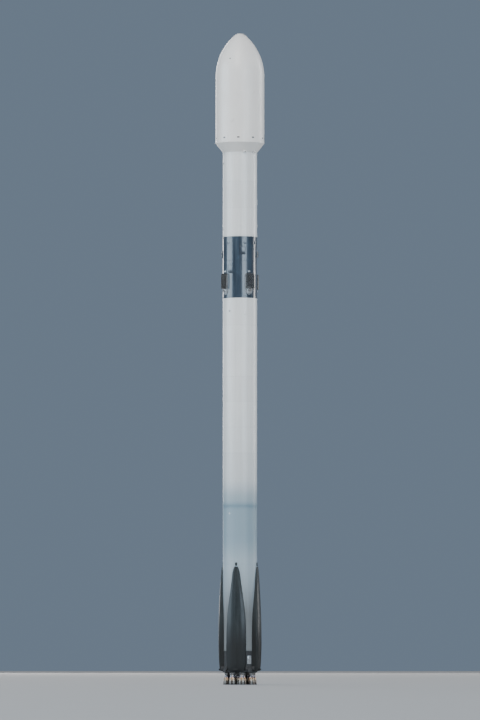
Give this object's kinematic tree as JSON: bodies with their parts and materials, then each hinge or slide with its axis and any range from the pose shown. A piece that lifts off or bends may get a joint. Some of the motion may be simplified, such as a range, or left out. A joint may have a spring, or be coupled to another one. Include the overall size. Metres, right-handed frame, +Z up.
{
  "type": "space rocket, 1:2 scale model",
  "caption": "Two-stage orbital launch rocket with gimballed engines, folded landing legs, folding grid fins and a bulged payload fairing that opens.",
  "frame": {"origin": "on the rocket's axis, in the plane of its four hold-down pads", "axes": "+Z up along the rocket's axis to the nose tip, +X and +Y through grid fins and hold-down pads, with the fairing's seam in the XZ plane"},
  "size_m": [2.6146, 2.615, 34.9998],
  "materials": {
    "white_paint": "satin",
    "fairing_white": "satin",
    "black_composite": "gloss",
    "thermal_black": "matte",
    "fin_metal": "satin",
    "nozzle_metal": "satin",
    "structure_metal": "satin"
  },
  "bodies": {
    "airframe": {"fuel_tank": "white_paint", "oxidizer_tank": "white_paint", "second_stage_tank": "white_paint", "system_tunnel_lower": "white_paint", "system_tunnel_upper": "white_paint", "forward_ring": "white_paint", "interstage": "black_composite", "landing_leg_1": "black_composite", "landing_leg_2": "black_composite", "landing_leg_3": "black_composite", "landing_leg_4": "black_composite", "thruster_pod_1": "black_composite", "thruster_pod_2": "black_composite", "thrust_plate": "thermal_black", "engine_skirt": "thermal_black", "base_heat_shield": "thermal_black", "second_stage_engine": "nozzle_metal", "payload_adapter": "structure_metal", "umbilical_panel_1": "structure_metal", "umbilical_panel_2": "structure_metal", "umbilical_panel_3": "structure_metal"},
    "fairing_half_1": {"fairing_half_1": "fairing_white"},
    "fairing_half_2": {"fairing_half_2": "fairing_white"},
    "fin_yoke_1": {"fin_yoke_1": "structure_metal"},
    "fin_yoke_2": {"fin_yoke_2": "structure_metal"},
    "fin_yoke_3": {"fin_yoke_3": "structure_metal"},
    "fin_yoke_4": {"fin_yoke_4": "structure_metal"},
    "grid_fin_1": {"grid_fin_1": "fin_metal"},
    "grid_fin_2": {"grid_fin_2": "fin_metal"},
    "grid_fin_3": {"grid_fin_3": "fin_metal"},
    "grid_fin_4": {"grid_fin_4": "fin_metal"},
    "gimbal_cross_1": {"gimbal_cross_1": "structure_metal"},
    "gimbal_cross_2": {"gimbal_cross_2": "structure_metal"},
    "gimbal_cross_3": {"gimbal_cross_3": "structure_metal"},
    "gimbal_cross_4": {"gimbal_cross_4": "structure_metal"},
    "gimbal_cross_5": {"gimbal_cross_5": "structure_metal"},
    "gimbal_cross_6": {"gimbal_cross_6": "structure_metal"},
    "gimbal_cross_7": {"gimbal_cross_7": "structure_metal"},
    "gimbal_cross_8": {"gimbal_cross_8": "structure_metal"},
    "gimbal_cross_9": {"gimbal_cross_9": "structure_metal"},
    "engine_1": {"engine_1": "nozzle_metal"},
    "engine_2": {"engine_2": "nozzle_metal"},
    "engine_3": {"engine_3": "nozzle_metal"},
    "engine_4": {"engine_4": "nozzle_metal"},
    "engine_5": {"engine_5": "nozzle_metal"},
    "engine_6": {"engine_6": "nozzle_metal"},
    "engine_7": {"engine_7": "nozzle_metal"},
    "engine_8": {"engine_8": "nozzle_metal"},
    "engine_9": {"engine_9": "nozzle_metal"}
  },
  "joints": [
    {"name": "gimbal_pitch_1", "type": "hinge", "parent": "airframe", "child": "gimbal_cross_1", "pos_m": [0, 0, 0.55], "axis": [1, 0, 0], "range_deg": [-5, 5]},
    {"name": "gimbal_yaw_1", "type": "hinge", "parent": "gimbal_cross_1", "child": "engine_1", "pos_m": [0, 0, 0.55], "axis": [0, 1, 0], "range_deg": [-5, 5]},
    {"name": "gimbal_pitch_2", "type": "hinge", "parent": "airframe", "child": "gimbal_cross_2", "pos_m": [0.63286, 0.26214, 0.55], "axis": [1, 0, 0], "range_deg": [-5, 5]},
    {"name": "gimbal_yaw_2", "type": "hinge", "parent": "gimbal_cross_2", "child": "engine_2", "pos_m": [0.63286, 0.26214, 0.55], "axis": [0, 1, 0], "range_deg": [-5, 5]},
    {"name": "gimbal_pitch_3", "type": "hinge", "parent": "airframe", "child": "gimbal_cross_3", "pos_m": [0.26214, 0.63286, 0.55], "axis": [1, 0, 0], "range_deg": [-5, 5]},
    {"name": "gimbal_yaw_3", "type": "hinge", "parent": "gimbal_cross_3", "child": "engine_3", "pos_m": [0.26214, 0.63286, 0.55], "axis": [0, 1, 0], "range_deg": [-5, 5]},
    {"name": "gimbal_pitch_4", "type": "hinge", "parent": "airframe", "child": "gimbal_cross_4", "pos_m": [-0.26214, 0.63286, 0.55], "axis": [1, 0, 0], "range_deg": [-5, 5]},
    {"name": "gimbal_yaw_4", "type": "hinge", "parent": "gimbal_cross_4", "child": "engine_4", "pos_m": [-0.26214, 0.63286, 0.55], "axis": [0, 1, 0], "range_deg": [-5, 5]},
    {"name": "gimbal_pitch_5", "type": "hinge", "parent": "airframe", "child": "gimbal_cross_5", "pos_m": [-0.63286, 0.26214, 0.55], "axis": [1, 0, 0], "range_deg": [-5, 5]},
    {"name": "gimbal_yaw_5", "type": "hinge", "parent": "gimbal_cross_5", "child": "engine_5", "pos_m": [-0.63286, 0.26214, 0.55], "axis": [0, 1, 0], "range_deg": [-5, 5]},
    {"name": "gimbal_pitch_6", "type": "hinge", "parent": "airframe", "child": "gimbal_cross_6", "pos_m": [-0.63286, -0.26214, 0.55], "axis": [1, 0, 0], "range_deg": [-5, 5]},
    {"name": "gimbal_yaw_6", "type": "hinge", "parent": "gimbal_cross_6", "child": "engine_6", "pos_m": [-0.63286, -0.26214, 0.55], "axis": [0, 1, 0], "range_deg": [-5, 5]},
    {"name": "gimbal_pitch_7", "type": "hinge", "parent": "airframe", "child": "gimbal_cross_7", "pos_m": [-0.26214, -0.63286, 0.55], "axis": [1, 0, 0], "range_deg": [-5, 5]},
    {"name": "gimbal_yaw_7", "type": "hinge", "parent": "gimbal_cross_7", "child": "engine_7", "pos_m": [-0.26214, -0.63286, 0.55], "axis": [0, 1, 0], "range_deg": [-5, 5]},
    {"name": "gimbal_pitch_8", "type": "hinge", "parent": "airframe", "child": "gimbal_cross_8", "pos_m": [0.26214, -0.63286, 0.55], "axis": [1, 0, 0], "range_deg": [-5, 5]},
    {"name": "gimbal_yaw_8", "type": "hinge", "parent": "gimbal_cross_8", "child": "engine_8", "pos_m": [0.26214, -0.63286, 0.55], "axis": [0, 1, 0], "range_deg": [-5, 5]},
    {"name": "gimbal_pitch_9", "type": "hinge", "parent": "airframe", "child": "gimbal_cross_9", "pos_m": [0.63286, -0.26214, 0.55], "axis": [1, 0, 0], "range_deg": [-5, 5]},
    {"name": "gimbal_yaw_9", "type": "hinge", "parent": "gimbal_cross_9", "child": "engine_9", "pos_m": [0.63286, -0.26214, 0.55], "axis": [0, 1, 0], "range_deg": [-5, 5]},
    {"name": "fin_steer_1", "type": "hinge", "parent": "airframe", "child": "fin_yoke_1", "pos_m": [0.99, 0, 20.45], "axis": [1, 0, 0], "range_deg": [-20, 20]},
    {"name": "fin_fold_1", "type": "hinge", "parent": "fin_yoke_1", "child": "grid_fin_1", "pos_m": [0.99, 0, 20.45], "axis": [0, 1, 0], "range_deg": [0, 90]},
    {"name": "fin_steer_2", "type": "hinge", "parent": "airframe", "child": "fin_yoke_2", "pos_m": [0, 0.99, 20.45], "axis": [0, 1, 0], "range_deg": [-20, 20]},
    {"name": "fin_fold_2", "type": "hinge", "parent": "fin_yoke_2", "child": "grid_fin_2", "pos_m": [0, 0.99, 20.45], "axis": [-1, 0, 0], "range_deg": [0, 90]},
    {"name": "fin_steer_3", "type": "hinge", "parent": "airframe", "child": "fin_yoke_3", "pos_m": [-0.99, 0, 20.45], "axis": [-1, 0, 0], "range_deg": [-20, 20]},
    {"name": "fin_fold_3", "type": "hinge", "parent": "fin_yoke_3", "child": "grid_fin_3", "pos_m": [-0.99, 0, 20.45], "axis": [0, -1, 0], "range_deg": [0, 90]},
    {"name": "fin_steer_4", "type": "hinge", "parent": "airframe", "child": "fin_yoke_4", "pos_m": [0, -0.99, 20.45], "axis": [0, -1, 0], "range_deg": [-20, 20]},
    {"name": "fin_fold_4", "type": "hinge", "parent": "fin_yoke_4", "child": "grid_fin_4", "pos_m": [0, -0.99, 20.45], "axis": [1, 0, 0], "range_deg": [0, 90]},
    {"name": "fairing_open_1", "type": "hinge", "parent": "airframe", "child": "fairing_half_1", "pos_m": [0, 0.975, 27.934], "axis": [-1, 0, 0], "range_deg": [0, 60]},
    {"name": "fairing_open_2", "type": "hinge", "parent": "airframe", "child": "fairing_half_2", "pos_m": [0, -0.975, 27.934], "axis": [1, 0, 0], "range_deg": [0, 60]}
  ],
  "couplings": [
    {"joint": "gimbal_pitch_2", "follows": "gimbal_pitch_1", "ratio": 1},
    {"joint": "gimbal_yaw_2", "follows": "gimbal_yaw_1", "ratio": 1},
    {"joint": "gimbal_pitch_3", "follows": "gimbal_pitch_1", "ratio": 1},
    {"joint": "gimbal_yaw_3", "follows": "gimbal_yaw_1", "ratio": 1},
    {"joint": "gimbal_pitch_4", "follows": "gimbal_pitch_1", "ratio": 1},
    {"joint": "gimbal_yaw_4", "follows": "gimbal_yaw_1", "ratio": 1},
    {"joint": "gimbal_pitch_5", "follows": "gimbal_pitch_1", "ratio": 1},
    {"joint": "gimbal_yaw_5", "follows": "gimbal_yaw_1", "ratio": 1},
    {"joint": "gimbal_pitch_6", "follows": "gimbal_pitch_1", "ratio": 1},
    {"joint": "gimbal_yaw_6", "follows": "gimbal_yaw_1", "ratio": 1},
    {"joint": "gimbal_pitch_7", "follows": "gimbal_pitch_1", "ratio": 1},
    {"joint": "gimbal_yaw_7", "follows": "gimbal_yaw_1", "ratio": 1},
    {"joint": "gimbal_pitch_8", "follows": "gimbal_pitch_1", "ratio": 1},
    {"joint": "gimbal_yaw_8", "follows": "gimbal_yaw_1", "ratio": 1},
    {"joint": "gimbal_pitch_9", "follows": "gimbal_pitch_1", "ratio": 1},
    {"joint": "gimbal_yaw_9", "follows": "gimbal_yaw_1", "ratio": 1},
    {"joint": "fin_fold_2", "follows": "fin_fold_1", "ratio": 1},
    {"joint": "fin_fold_3", "follows": "fin_fold_1", "ratio": 1},
    {"joint": "fin_fold_4", "follows": "fin_fold_1", "ratio": 1},
    {"joint": "fairing_open_2", "follows": "fairing_open_1", "ratio": 1}
  ]
}
